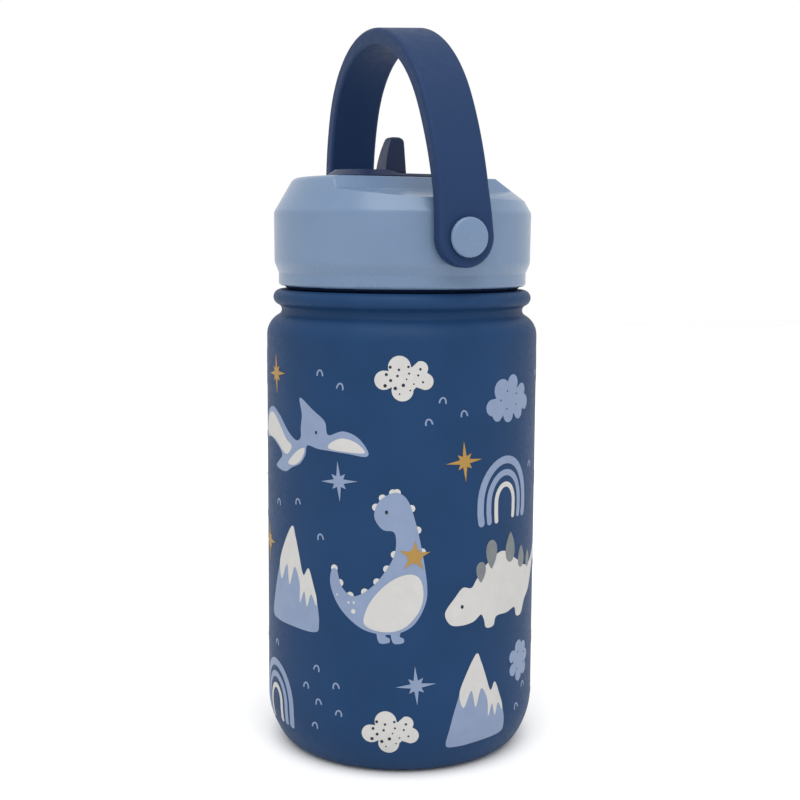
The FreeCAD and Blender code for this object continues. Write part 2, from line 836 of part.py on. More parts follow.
def make_spout():
    """The flip piece: barrel on two trunnions, drinking nozzle and the thumb fin that turns it."""
    half, reach = s.barrel_half, s.trunnion_reach
    at = s.flip_height
    barrel = rod("barrel", s.barrel_radius, half * 2, (-half, 0, at), V(1, 0, 0))
    trunnions = rod("trunnions", s.trunnion_radius, reach * 2, (-reach, 0, at), V(1, 0, 0))
    nozzle = rod("nozzle", s.nozzle_radius, s.nozzle_reach, (0, 0, at), V(0, -1, 0))
    foot = at + 3.0
    shoulder = at + 7.6
    crest_y = 4.1
    bore_back = 8.0
    profile = padded_body("fin_profile", [
        (-s.fin_front - 0.4, foot),
        (-s.fin_back + 0.4, foot),
        (-s.fin_back, shoulder),
        (-s.fin_back - 0.1, s.fin_top - 1.6, 1.6),
        (-s.fin_back - 1.6, s.fin_top),
        (-crest_y + 0.6, s.fin_top, 1.1),
        (-crest_y - 0.35, s.fin_top - 0.9, 26.0),
        (-s.fin_front, shoulder),
    ], "YZ_Plane", s.beyond)
    taper = padded_body("fin_taper", [
        (-s.fin_half_base, foot),
        (s.fin_half_base, foot),
        (s.fin_half_base, shoulder),
        (s.fin_half_top, s.fin_top - 1.0, 1.2),
        (s.fin_half_top - 1.0, s.fin_top),
        (-s.fin_half_top + 1.0, s.fin_top, 1.2),
        (-s.fin_half_top, s.fin_top - 1.0),
        (-s.fin_half_base, shoulder),
    ], "XZ_Plane", s.beyond)
    fin = common("fin", profile, taper)
    whole = fused("spout_solid", barrel, trunnions, nozzle, fin)
    bore = rod("spout_bore", s.flow_radius - 0.2, s.beyond, (0, bore_back, at), V(0, -1, 0))
    return cut("spout", whole, bore)


def make_mouthpiece():
    """The soft silicone sleeve on the nozzle, drawn standing and then laid along -Y."""
    start, collar, waist, lip_r = 7.0, 4.9, 4.4, 5.0
    bore = 2.2
    sleeve = turned("mouthpiece", [
        (s.nozzle_radius, start),
        (collar - 0.4, start, 0.4),
        (collar, start + 0.4),
        (collar, start + 1.4),
        (waist, start + 2.6),
        (waist, s.mouth_reach - 5.0),
        (lip_r, s.mouth_reach - 2.0),
        (lip_r, s.mouth_reach - 1.4, 1.4),
        (lip_r - 1.4, s.mouth_reach),
        (bore, s.mouth_reach),
        (bore, s.nozzle_reach + 0.05),
        (s.nozzle_radius, s.nozzle_reach + 0.05),
    ])
    return pointed(sleeve, (0, 0, s.flip_height), V(0, -1, 0))


# ---------------------------------------------------------------- strap and studs
def make_stud(name, side):
    """A snap button: domed head outside the strap, stem in the lid's boss."""
    stem, edge, height = 4.2, 0.5, 1.9
    rim_z, round_off = 0.9, 0.55
    dome_r = s.stud_radius - round_off
    rise = height - rim_z - round_off
    head = turned(name, [
        (0, -stem),
        (s.stem_radius - 0.3, -stem),
        (s.stem_radius, -stem + 0.3),
        (s.stem_radius, 0),
        (s.stud_radius - edge, 0, edge),
        (s.stud_radius, edge),
        (s.stud_radius, rim_z, 0.7),
        (dome_r, rim_z + round_off, (dome_r * dome_r + rise * rise) / (2 * rise)),
        (0, height),
    ])
    reach = s.lid_radius + s.strap_gap + s.strap_thick + s.stud_slip
    return pointed(head, (side * reach, 0, s.pivot_height), V(side, 0, 0))


def make_strap():
    """The silicone carry strap: an arch of flat band with a round eye at each end."""
    middle = s.lid_radius + s.strap_gap + s.strap_thick / 2
    crown_z = s.strap_apex - s.strap_crown_radius
    rise = crown_z - s.strap_spring
    crown = s.strap_crown_radius
    side = (middle * middle + rise * rise - crown * crown) / ((middle - crown) * 2)
    run = side - crown
    across, up = (side - middle) / run, rise / run

    def curve(offset):
        meet = (across * (crown + offset), crown_z + up * (crown + offset))
        return middle + offset, meet, side + offset, crown + offset

    half = s.strap_thick / 2
    foot = s.pivot_height - 10
    leg_o, meet_o, side_o, crown_o = curve(half)
    leg_i, meet_i, side_i, crown_i = curve(-half)
    band = padded_body("strap_band", [
        (leg_o, foot),
        (leg_o, s.strap_spring, side_o),
        (meet_o[0], meet_o[1], crown_o),
        (0, s.strap_apex + half, crown_o),
        (-meet_o[0], meet_o[1], side_o),
        (-leg_o, s.strap_spring),
        (-leg_o, foot),
        (-leg_i, foot),
        (-leg_i, s.strap_spring, -side_i),
        (-meet_i[0], meet_i[1], -crown_i),
        (0, s.strap_apex - half, -crown_i),
        (meet_i[0], meet_i[1], -side_i),
        (leg_i, s.strap_spring),
        (leg_i, foot),
    ], "XZ_Plane", s.beyond)
    eye, width = s.strap_eye_radius, s.strap_half_width
    taper_z = s.pivot_height + 12
    top = s.strap_apex + 10
    plan = padded_body("strap_plan", [
        (-eye, s.pivot_height, eye),
        (0, s.pivot_height - eye, eye),
        (eye, s.pivot_height),
        (width, taper_z),
        (width, top),
        (-width, top),
        (-width, taper_z),
    ], "YZ_Plane", s.beyond)
    raw = common("strap_raw", band, plan)
    soft = rounded("strap_soft", raw, s.strap_edge, lambda edge: True)
    slip = 0.1
    left = (-s.beyond / 2, 0, s.pivot_height)
    hole = rod("strap_holes", s.boss_radius + slip, s.beyond, left, V(1, 0, 0))
    strap = cut("strap", soft, hole)
    lean = FreeCAD.Rotation(V(1, 0, 0), s.strap_lean.value)
    pivot = V(0, 0, s.pivot_height.value)
    strap.Placement = FreeCAD.Placement(pivot - lean.multVec(pivot), lean)
    return strap


# ---------------------------------------------------------------- build, check and write
MAKERS = {
    "outer_wall": make_outer_wall,
    "outer_neck": make_outer_neck,
    "outer_base": make_outer_base,
    "inner_wall": make_inner_wall,
    "inner_neck": make_inner_neck,
    "inner_base": make_inner_base,
    "getter": make_getter,
    "vacuum_seal": make_vacuum_seal,
    "base_cap": make_base_cap,
    "lid_shell": make_lid_shell,
    "lid_liner": make_lid_liner,
    "lid_gasket": make_lid_gasket,
    "vent_valve": make_vent_valve,
    "straw_socket": make_straw_socket,
    "straw": make_straw,
    "spout_seal": make_spout_seal,
    "spout_cradle": make_spout_cradle,
    "spout": make_spout,
    "mouthpiece": make_mouthpiece,
    "strap_stud_right": lambda: make_stud("strap_stud_right", 1),
    "strap_stud_left": lambda: make_stud("strap_stud_left", -1),
    "strap": make_strap,
}

made = {}
for label, maker in MAKERS.items():
    piece = maker()
    piece.Label = label
    made[label] = piece
doc.recompute()

faults = [o.Name for o in doc.Objects if "Invalid" in o.State or "Error" in o.State]
faults += [label for label, piece in made.items()
           if piece.Shape.isNull() or not piece.Shape.isValid() or not piece.Shape.Solids]
if faults:
    raise SystemExit(f"these objects failed: {faults}")
os.makedirs("parts", exist_ok=True)
for label, piece in made.items():
    piece.Shape.exportStep(f"parts/{label}.step")
    print(f"{label}: {len(piece.Shape.Solids)} solid, {piece.Shape.Volume:.0f} mm3")
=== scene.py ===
"""The looks of a kids' insulated bottle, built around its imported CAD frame. Metres, +Z up, -Y front."""
import bmesh
import bpy
import json
import math
from bisect import bisect_left
from mathutils import Matrix, Vector


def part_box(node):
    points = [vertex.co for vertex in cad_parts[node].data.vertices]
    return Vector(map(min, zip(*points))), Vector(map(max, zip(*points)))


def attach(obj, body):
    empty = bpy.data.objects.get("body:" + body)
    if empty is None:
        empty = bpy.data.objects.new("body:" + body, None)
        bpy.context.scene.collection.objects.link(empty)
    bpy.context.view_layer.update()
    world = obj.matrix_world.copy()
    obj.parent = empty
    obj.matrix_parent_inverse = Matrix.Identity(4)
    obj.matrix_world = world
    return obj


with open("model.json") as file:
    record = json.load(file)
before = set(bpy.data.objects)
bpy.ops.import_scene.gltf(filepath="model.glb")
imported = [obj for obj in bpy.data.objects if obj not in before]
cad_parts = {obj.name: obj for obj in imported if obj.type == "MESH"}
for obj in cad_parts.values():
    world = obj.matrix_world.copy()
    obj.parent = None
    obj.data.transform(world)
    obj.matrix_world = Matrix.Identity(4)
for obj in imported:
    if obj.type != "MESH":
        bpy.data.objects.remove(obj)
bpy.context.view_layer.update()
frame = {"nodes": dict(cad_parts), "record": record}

MM = 0.001
NODES = frame["nodes"]

# Where the camera stands, round the bottle's axis from the front, and how it is turned, in degrees.
CAMERA_AZIMUTH = 65.9
CAMERA_DISTANCE = 365.6 * MM
CAMERA_HEIGHT = 137.85 * MM
CAMERA_PITCH = 6.93
CAMERA_YAW = 0.06
CAMERA_ROLL = 0.34
CAMERA_LENS = 60.5
SENSOR = 36.0


# ---------------------------------------------------------------- colours and materials
def linear(code):
    """The linear colour, with alpha, of a six-digit sRGB code."""
    parts = [int(code[i:i + 2], 16) / 255 for i in (0, 2, 4)]
    return tuple(p / 12.92 if p <= 0.04045 else ((p + 0.055) / 1.055) ** 2.4 for p in parts) + (1.0,)


class Shader:
    """A node material around one Principled shader."""

    def __init__(self, name, colour, roughness, **sockets):
        self.material = bpy.data.materials.new(name)
        self.material.use_nodes = True
        self.tree = self.material.node_tree
        self.main = self.tree.nodes["Principled BSDF"]
        self.main.inputs["Base Color"].default_value = colour
        self.main.inputs["Roughness"].default_value = roughness
        for socket, value in sockets.items():
            self.main.inputs[socket.replace("_", " ")].default_value = value
        self.place = self.tree.nodes.new("ShaderNodeTexCoord").outputs["Object"]
        self.bump = None

    def node(self, kind, links=(), **values):
        made = self.tree.nodes.new(kind)
        for key, value in values.items():
            setattr(made, key, value)
        for socket, source in links:
            if hasattr(source, "links"):
                self.tree.links.new(source, made.inputs[socket])
            else:
                made.inputs[socket].default_value = source
        return made

    def stretched(self, scale):
        """Object coordinates multiplied by a vector."""
        return self.node("ShaderNodeMapping", [("Vector", self.place), ("Scale", scale)]).outputs["Vector"]

    def noise(self, scale, detail=3.0, rough=0.5, place=None):
        links = [("Vector", place or self.place), ("Scale", scale)]
        links += [("Detail", detail), ("Roughness", rough)]
        return self.node("ShaderNodeTexNoise", links).outputs["Fac"]

    def ramp(self, source, low, high, start=0.0, end=1.0):
        links = [("Value", source), ("From Min", low), ("From Max", high)]
        links += [("To Min", start), ("To Max", end)]
        return self.node("ShaderNodeMapRange", links).outputs["Result"]

    def vary_colour(self, source, other):
        """Mixes the base colour towards another one, by a varying amount."""
        mix = self.node("ShaderNodeMix", data_type="RGBA")
        mix.inputs[6].default_value = self.main.inputs["Base Color"].default_value
        mix.inputs[7].default_value = other
        self.tree.links.new(source, mix.inputs[0])
        self.tree.links.new(mix.outputs[2], self.main.inputs["Base Color"])

    def vary_roughness(self, source, low, high, start, end):
        self.tree.links.new(self.ramp(source, low, high, start, end), self.main.inputs["Roughness"])

    def raise_by(self, height, depth, strength=1.0):
        """Adds a bump of that depth, in metres, on top of any earlier one."""
        links = [("Height", height), ("Distance", depth), ("Strength", strength)]
        if self.bump:
            links.append(("Normal", self.bump))
        self.bump = self.node("ShaderNodeBump", links).outputs["Normal"]
        self.tree.links.new(self.bump, self.main.inputs["Normal"])


def powder_coat():
    """Navy powder coat: fine orange peel, faint clouding, satin."""
    coat = Shader("navy_powder_coat", linear("1A375B"), 0.5, Specular_IOR_Level=0.1)
    coat.vary_colour(coat.ramp(coat.noise(60.0, 4.0), 0.35, 0.75), linear("173354"))
    coat.vary_roughness(coat.noise(900.0, 2.0), 0.3, 0.7, 0.44, 0.56)
    coat.raise_by(coat.noise(2600.0, 2.0), 0.00002, 0.4)
    return coat.material


def lid_plastic():
    """Light-blue moulded plastic, semi-gloss and smooth."""
    shell = Shader("light_blue_plastic", linear("637893"), 0.24, Specular_IOR_Level=0.4)
    shell.vary_colour(shell.ramp(shell.noise(45.0, 3.0), 0.35, 0.7), linear("5E738E"))
    shell.vary_roughness(shell.noise(120.0, 3.0), 0.3, 0.7, 0.25, 0.3)
    return shell.material


def dark_plastic():
    shell = Shader("dark_navy_plastic", linear("162543"), 0.4, Specular_IOR_Level=0.25)
    shell.vary_roughness(shell.noise(400.0, 3.0), 0.3, 0.7, 0.34, 0.46)
    shell.raise_by(shell.noise(2200.0, 2.0), 0.00001, 0.5)
    return shell.material


def strap_silicone():
    band = Shader("navy_silicone", linear("1A3052"), 0.55, Specular_IOR_Level=0.14)
    band.vary_roughness(band.noise(500.0, 3.0), 0.3, 0.7, 0.48, 0.62)
    band.raise_by(band.noise(3000.0, 2.0), 0.000012, 0.5)
    return band.material


def clear_silicone():
    return Shader("clear_silicone", linear("E4E8EC"), 0.35, Subsurface_Weight=0.4).material


def steel():
    metal = Shader("brushed_steel", linear("B8BABD"), 0.32, Metallic=1.0)
    brushed = metal.noise(1.0, 2.0, place=metal.stretched((300.0, 300.0, 9000.0)))
    metal.vary_roughness(brushed, 0.3, 0.7, 0.24, 0.4)
    return metal.material


def ink(name, colour, other):
    """Screen-printed ink: a soft mottle between two tones, and a matt, slightly grainy skin."""
    layer = Shader(name, linear(colour), 0.5, Specular_IOR_Level=0.3)
    layer.vary_colour(layer.ramp(layer.noise(260.0, 5.0, 0.6), 0.35, 0.68), linear(other))
    layer.vary_roughness(layer.noise(1200.0, 2.0), 0.3, 0.7, 0.44, 0.58)
    layer.raise_by(layer.noise(2600.0, 2.0), 0.00002, 0.4)
    return layer.material


MATERIALS = {
    "body_paint": powder_coat(),
    "bare_steel": steel(),
    "lid_plastic": lid_plastic(),
    "dark_plastic": dark_plastic(),
    "strap_silicone": strap_silicone(),
    "soft_silicone": clear_silicone(),
    "straw_plastic": clear_silicone(),
    "glass_seal": dark_plastic(),
    "getter_metal": steel(),
}
INKS = {
    "cream": ink("cream_ink", "B3B2B0", "AEADAB"),
    "pale_blue": ink("pale_blue_ink", "75849F", "707F9A"),
    "gold": ink("gold_ink", "97763A", "917036"),
    "grey": ink("grey_ink", "6A6F72", "62666A"),
    "dark": ink("dark_ink", "121727", "1A2032"),
}
for part in frame["record"]["subparts"]:
    holder = NODES[part["node"]]
    holder.data.materials.clear()
    holder.data.materials.append(MATERIALS[part["material_slot"]])


# ---------------------------------------------------------------- the printed pattern
# Artwork is drawn flat, in millimetres: x runs round the wall from the middle of the picture, y is height.
PICTURE_AZIMUTH = 66.0
PRINT_LIFT = 0.04                 # the lowest ink above the wall
LAYER_STEP = 0.03                 # from one layer of ink to the next
PRINT_ROOT = 0.05                 # how far the ink's shells reach into the wall
STRIP = 1.5                       # the widest flat facet round the wall
REPEATS = 2                       # of the picture, round the wall
BIRD_STEPS, ARCH_STEPS, CAP_STEPS = 8, 20, 6
DISC_SIDES, LEAF_SIDES, CLOUD_SIDES = 16, 24, 96


def outer_profile(*names):
    """(height, radius) points, in millimetres, of the outside of the wall, up from the foot."""
    outside = {}
    for name in names:
        for vertex in NODES[name].data.vertices:
            flat_place = Vector((vertex.co.x, vertex.co.y, 0)) / MM
            if vertex.normal.dot(flat_place) > 0.5 * flat_place.length:
                outside[round(vertex.co.z / MM, 2)] = flat_place.length
    return sorted(outside.items())


PROFILE = outer_profile("outer_base", "outer_wall")
PROFILE_HEIGHTS = [height for height, radius in PROFILE]
WALL_RADIUS = max(radius for height, radius in PROFILE)
BASE_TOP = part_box("outer_base")[1].z / MM


def wall_radius(height):
    if height >= BASE_TOP:
        return WALL_RADIUS
    above = bisect_left(PROFILE_HEIGHTS, height)
    (low, inner), (high, outer) = PROFILE[above - 1], PROFILE[above]
    return inner + (outer - inner) * (height - low) / (high - low)


def wrapped(x, y, lift):
    """The point of the wall at that place in the picture, in metres, raised by lift millimetres."""
    angle = math.radians(PICTURE_AZIMUTH) + x / WALL_RADIUS
    radius = (wall_radius(y) + lift) * MM
    return Vector((radius * math.sin(angle), -radius * math.cos(angle), y * MM))


def wall_normal(x, y):
    step = 0.25
    slope = (wall_radius(y + step) - wall_radius(y - step)) / (2 * step)
    angle = math.radians(PICTURE_AZIMUTH) + x / WALL_RADIUS
    return Vector((math.sin(angle), -math.cos(angle), -slope)).normalized()


def placed(points, x, y, scale=1.0, turn=0.0):
    """Points scaled, turned anticlockwise by degrees, and moved."""
    c, s = math.cos(math.radians(turn)) * scale, math.sin(math.radians(turn)) * scale
    return [(x + c * px - s * py, y + s * px + c * py) for px, py in points]


def smooth(points, steps=7, closed=True):
    """A Catmull-Rom curve through the points."""
    count = len(points)
    reach = count if closed else count - 1
    curve = []
    for i in range(reach):
        if closed:
            quad = [points[(i + k) % count] for k in (-1, 0, 1, 2)]
        else:
            quad = [points[min(max(i + k, 0), count - 1)] for k in (-1, 0, 1, 2)]
        for step in range(steps):
            t = step / steps
            weights = (-t + 2 * t ** 2 - t ** 3, 2 - 5 * t ** 2 + 3 * t ** 3,
                       t + 4 * t ** 2 - 3 * t ** 3, t ** 3 - t ** 2)
            curve.append(tuple(sum(w * q[axis] for w, q in zip(weights, quad)) / 2 for axis in (0, 1)))
    return curve if closed else curve + [points[-1]]


def stroke(path, width):
    """The outline of a line of that width with round ends."""
    half = width / 2
    spots = [Vector(p) for p in path]
    left, right = [], []
    for i, spot in enumerate(spots):
        along = (spots[min(i + 1, len(spots) - 1)] - spots[max(i - 1, 0)]).normalized()
        side = Vector((-along.y, along.x)) * half
        left.append(spot + side)
        right.append(spot - side)
    last, first = (spots[-1] - spots[-2]).normalized(), (spots[0] - spots[1]).normalized()
    outline = list(right) + cap(spots[-1], last, half) + left[::-1] + cap(spots[0], first, half)
    return [tuple(p) for p in outline]


def cap(centre, ahead, radius):
    """The points of a round end, between its two corners, turning anticlockwise."""
    start = math.atan2(ahead.y, ahead.x) - math.pi / 2
    turns = [start + math.pi * k / CAP_STEPS for k in range(1, CAP_STEPS)]
    return [centre + Vector((math.cos(a), math.sin(a))) * radius for a in turns]


def around_turn(count):
    """Evenly spaced angles of one full turn."""
    return [2 * math.pi * k / count for k in range(count)]


def disc(x, y, radius, tall=1.0):
    """A circle, or an ellipse that many times as tall as wide."""
    return [(x + radius * math.cos(a), y + radius * tall * math.sin(a)) for a in around_turn(DISC_SIDES)]


def star(points, long, short, waist):
    """A star whose arms are long and short by turns."""
    outline = []
    for k in range(points):
        reach = short if k % 2 else long
        for radius, turn in ((reach, k), (waist, k + 0.5)):
            angle = math.pi / 2 - 2 * math.pi * turn / points
            outline.append((radius * math.cos(angle), radius * math.sin(angle)))
    return outline


def cloud(lobes):
    """The outline of overlapping round lobes (x, y, radius), seen from the middle of the first."""
    outline = []
    for angle in around_turn(CLOUD_SIDES):
        ray = Vector((math.cos(angle), math.sin(angle)))
        reach = [0.0]
        for x, y, radius in lobes:
            near = ray.dot((x, y))
            miss = x * x + y * y - near * near
            if miss < radius * radius:
                reach.append(near + math.sqrt(radius * radius - miss))
        outline.append(tuple(ray * max(reach)))
    return outline


def leaf(x, y, width, height):
    """A back plate, pointed at the top, or at the bottom when the height is negative."""
    half, tall = width / 2, height / 2
    return [(x + half * math.sin(a) * math.sin(a / 2) ** 0.7, y + tall * math.cos(a))
            for a in around_turn(LEAF_SIDES)]


def spaced(curve, start, end, count):
    """Evenly spaced points along part of a curve, from one of its points to another."""
    part = [Vector(p) for p in curve[start:end + 1]]
    total = sum((b - a).length for a, b in zip(part, part[1:]))
    found, walked, wanted = [], 0.0, 0
    for a, b in zip(part, part[1:]):
        length = (b - a).length
        while wanted < count and walked + length >= total * wanted / (count - 1) - 1e-6:
            found.append(a.lerp(b, (total * wanted / (count - 1) - walked) / length))
            wanted += 1
        walked += length
    return found


class Picture:
    """Flat shapes by ink. A higher layer lies over a lower one."""

    def __init__(self):
        self.shapes = {name: [] for name in INKS}

    def add(self, name, layer, outline):
        area = sum(a[0] * b[1] - a[1] * b[0] for a, b in zip(outline, outline[1:] + outline[:1]))
        self.shapes[name].append((layer, outline if area > 0 else outline[::-1]))


def draw_long_neck(picture):
    """A plump long-necked dinosaur with its tail up, a pale belly and small round spines."""
    body = smooth([(-1.5, 74.6), (-5.4, 72.4), (-6.7, 68.4), (-4.6, 65.2), (-1.6, 64.4), (-1.3, 60.0),
                   (-2.9, 56.0), (-6.9, 50.7), (-12.0, 47.6), (-15.4, 49.9), (-16.7, 54.0), (-18.3, 53.6),
                   (-18.5, 49.6), (-15.8, 44.2), (-10.6, 39.8), (-5.5, 38.3), (-0.5, 38.6), (3.6, 41.0),
                   (6.3, 46.0), (6.7, 51.0), (5.4, 59.5), (3.7, 67.0), (1.6, 72.8)])
    picture.add("pale_blue", 1, body)
    for x, y in spaced(body, 37, 73, 7) + spaced(body, 140, 160, 4) + spaced(body, 1, 10, 3):
        picture.add("cream", 0, disc(x, y, 0.95))
    belly = [(-9.4, 41.6), (-7.8, 46.2), (-4.4, 50.4), (-0.9, 52.9), (2.6, 53.8), (5.0, 52.4), (5.8, 48.5),
             (4.8, 44.4), (2.0, 40.8), (-1.0, 39.2), (-4.6, 38.9), (-8.0, 39.7)]
    picture.add("cream", 2, smooth(belly))
    for x in (-5.9, -2.3):
        foot = [(0, 39.6), (0.5, 36.1), (3.0, 36.1), (3.2, 37.2), (2.2, 37.8), (2.4, 39.6)]
        picture.add("pale_blue", 0, smooth([(x + across, up) for across, up in foot]))
    for x, y, radius in ((-12.1, 43.7, 0.6), (-13.4, 45.9, 0.3), (-12.0, 46.0, 0.3), (-16.6, 47.6, 0.25)):
        picture.add("cream", 2, disc(x, y, radius))
    picture.add("dark", 3, disc(-3.6, 69.6, 0.4, 1.25))


def draw_plated(picture):
    """A low dinosaur with leaf-shaped plates along its back."""
    body = [(11.5, 43.4), (12.9, 40.3), (16.0, 39.7), (19.6, 40.3), (21.9, 41.8), (23.0, 40.2),
            (23.7, 38.1), (26.2, 38.2), (27.3, 40.5), (31.5, 40.7), (35.0, 41.3), (36.2, 38.8),
            (38.9, 38.8), (41.0, 42.0), (44.4, 44.6), (47.6, 49.4), (51.6, 55.4), (45.0, 51.6),
            (40.6, 51.6), (35.4, 54.3), (29.4, 57.4), (24.0, 55.0), (20.6, 51.4), (18.9, 49.2),
            (16.4, 49.5), (14.2, 47.2)]
    picture.add("cream", 1, smooth(body))
    for x, y, width, height in ((21.8, 52.9, 3.7, -5.4), (25.3, 57.1, 4.7, -7.6), (32.7, 57.9, 5.0, 8.0),
                                (38.4, 54.4, 4.2, 6.0), (43.0, 52.9, 3.2, 4.6)):
        picture.add("grey", 2, leaf(x, y, width, height))
    picture.add("dark", 3, disc(16.2, 44.6, 0.4, 1.25))


def draw_flyer(picture):
    """A crested flying reptile with its wings spread."""
    body = [(-28.7, 97.0), (-24.0, 94.2), (-20.3, 91.6), (-19.3, 88.3), (-15.0, 89.5), (-11.1, 88.2),
            (-8.4, 84.9), (-9.0, 83.4), (-13.6, 83.9), (-19.4, 84.3), (-22.6, 84.5), (-26.0, 85.0),
            (-26.8, 82.4), (-28.8, 80.0), (-32.1, 78.6), (-35.4, 77.1), (-40.4, 77.9), (-38.6, 79.6),
            (-36.9, 81.3), (-39.0, 83.3), (-44.0, 85.0), (-50.0, 84.8), (-49.0, 90.4), (-43.6, 93.3),
            (-38.4, 91.6), (-33.8, 87.8), (-30.4, 85.9), (-28.5, 86.8), (-28.4, 89.4), (-28.0, 92.8)]
    right_wing = [(-18.9, 86.0), (-16.8, 87.3), (-14.4, 87.7), (-11.2, 86.7), (-9.2, 84.4), (-13.6, 84.3),
                  (-18.8, 84.8)]
    left_wing = [(-47.4, 90.2), (-43.0, 91.8), (-38.6, 89.4), (-34.8, 85.8), (-32.2, 84.2), (-33.9, 82.0),
                 (-36.2, 82.2), (-41.0, 84.8), (-48.6, 85.8)]
    flank = [(-27.0, 84.1), (-29.8, 83.2), (-33.8, 79.7), (-31.1, 79.4), (-28.2, 81.2)]
    picture.add("pale_blue", 1, smooth(body))
    for membrane in (right_wing, left_wing, flank):
        picture.add("cream", 2, smooth(membrane))
    picture.add("dark", 3, disc(-23.0, 88.6, 0.35, 1.25))


def draw_mountains(picture, x, y, scale, turn):
    """Two peaks with snow that runs down in tongues."""
    rock = [(-1.0, 23.6), (-4.5, 17.5), (-6.6, 11.5), (-8.3, 5.8), (-9.3, 0.4), (-6.0, -0.4),
            (0.8, 0.0), (8.4, 0.6), (9.5, 2.8), (8.7, 7.4), (7.2, 11.4), (5.5, 15.0), (3.8, 13.2),
            (2.0, 17.6), (0.5, 21.4)]
    snow = [(-1.0, 23.7), (-4.6, 17.5), (-5.9, 13.4), (-4.6, 10.0), (-2.4, 14.2), (-1.0, 9.6), (0.7, 14.3),
            (2.8, 11.0), (3.2, 6.4), (4.5, 9.4), (5.6, 6.1), (6.7, 9.2), (8.4, 6.9), (8.4, 8.6),
            (7.3, 11.4), (5.5, 15.1), (3.9, 13.2), (2.1, 17.6), (0.6, 21.4)]
    picture.add("pale_blue", 1, smooth(placed(rock, x, y, scale, turn)))
    picture.add("cream", 2, smooth(placed(snow, x, y, scale, turn)))


def draw_rainbow(picture, x, y, scale, turn):
    """Three nested arches, the inner one cream."""
    leg = 4.6
    for name, half, height, width in (("pale_blue", 8.8, 15.6, 2.0), ("pale_blue", 6.1, 12.3, 1.6),
                                      ("cream", 3.5, 9.2, 1.3)):
        over = [math.pi * k / ARCH_STEPS for k in range(ARCH_STEPS + 1)]
        arch = [(half * math.cos(a), leg + (height - leg) * math.sin(a)) for a in over]
        feet = half * 0.96
        path = [(feet, 0.6), (half, leg / 2)] + arch + [(-half, leg / 2), (-feet, 0.0)]
        picture.add(name, 1, stroke(placed(path, x, y, scale, turn), width * scale))


BLUE_LOBES = ((0, 0, 4.0), (1.3, 4.2, 2.2), (-3.0, 2.6, 2.9), (-6.4, -1.6, 2.2), (-4.6, -3.4, 1.9),
              (-0.5, -3.8, 2.0), (4.0, -3.4, 1.9), (7.2, -1.2, 2.0), (5.6, 2.0, 1.9))
SMALL_LOBES = ((0, 0, 3.2), (-0.6, 3.6, 1.9), (-3.6, 1.6, 1.7), (-3.4, -2.0, 1.7), (-0.4, -4.0, 1.7),
               (2.8, -2.8, 1.8), (3.8, 0.4, 1.6), (2.4, 3.0, 1.6))
CREAM_LOBES = ((0.6, 0, 3.4), (-4.6, -0.3, 2.4), (-0.8, 3.0, 2.8), (4.4, 2.6, 1.9), (5.6, -0.6, 2.1),
               (0.0, -2.8, 2.7))


def draw_cloud(picture, x, y, lobes):
    """A blue cloud with five small dots."""
    wide, tall, tilt, size = 3.6, 2.4, 0.6, 0.22
    picture.add("pale_blue", 1, placed(cloud(lobes), x, y))
    for angle in around_turn(5):
        dot_x, dot_y = wide * math.cos(angle + tilt), tall * math.sin(angle + tilt)
        picture.add("dark", 2, disc(x + dot_x, y + dot_y, size))


def draw_dotted_cloud(picture, x, y):
    """A cream cloud with ink dots laid out on a sunflower spiral."""
    picture.add("cream", 1, placed(cloud(CREAM_LOBES), x, y))
    dots, wide, tall = 17, 5.8, 3.9
    for k in range(dots):
        reach = math.sqrt((k + 0.5) / dots)
        angle = math.radians(137.5 * k)
        size = 0.2 + 0.24 * ((k * 7) % 5) / 4
        dot_x, dot_y = wide * reach * math.cos(angle), tall * reach * math.sin(angle)
        picture.add("dark", 2, disc(x + dot_x, y + dot_y, size))


def draw_bird(picture, x, y, turn):
    """A bird far off: one small arch."""
    half, height, line = 0.85, 1.3, 0.42
    over = [math.pi * k / BIRD_STEPS for k in range(BIRD_STEPS + 1)]
    arch = [(half * math.cos(a), height * math.sin(a)) for a in over]
    picture.add("pale_blue", 1, stroke(placed(arch, x, y, 1.0, turn), line))


BIRDS = ((-21.8, 103.2), (-15.9, 100.2), (10.3, 97.0), (16.2, 93.5), (6.9, 91.7), (48.8, 101.5),
         (43.2, 77.8), (-39.1, 67.9), (-29.6, 69.4), (-21.6, 61.3), (-40.8, 29.4), (-23.1, 26.6),
         (-26.7, 21.3), (-16.9, 22.9), (-22.3, 17.7), (-16.2, 15.8), (-23.7, 11.2), (40.9, 18.2),
         (37.0, 13.3), (57.5, 88.0), (61.0, 84.0), (54.5, 48.5), (60.0, 62.0), (55.0, 12.0))
STARS = (("gold", -40.3, 102.3), ("gold", 16.5, 81.9), ("gold", -47.0, 56.5), ("gold", 57.0, 28.0),
         ("pale_blue", -16.2, 76.7), ("pale_blue", 4.1, 24.9), ("pale_blue", 56.5, 73.0))


